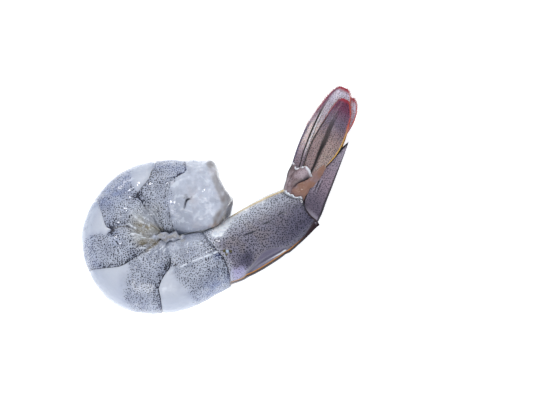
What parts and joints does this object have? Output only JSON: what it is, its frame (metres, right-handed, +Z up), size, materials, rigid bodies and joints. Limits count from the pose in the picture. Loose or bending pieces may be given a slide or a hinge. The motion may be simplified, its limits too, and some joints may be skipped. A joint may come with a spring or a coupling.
{
  "type": "raw tiger prawn",
  "caption": "Raw tiger prawn tail, peeled down to its last segment with the tail fan left on, curled up and lying on its left side.",
  "frame": {"origin": "middle of the footprint on the surface that the prawn lies on", "axes": "+Z up, out of the prawn's right flank; +X from the curl towards the tail fan; +Y towards the fan's tip"},
  "size_m": [0.069, 0.059, 0.0167],
  "materials": {
    "raw_flesh": "wet translucent raw flesh with dark speckles",
    "tail_shell": "wet thin shell, purple grey with dark speckles",
    "fan_blade": "wet thin shell, brown purple with a red fringe"
  },
  "bodies": {
    "root": {"flesh": "raw_flesh", "tail_segment": "tail_shell", "telson": "tail_shell", "protopod_right": "tail_shell", "endopod_right": "fan_blade", "exopod_right": "fan_blade", "protopod_left": "tail_shell", "endopod_left": "fan_blade", "exopod_left": "fan_blade"}
  },
  "joints": []
}
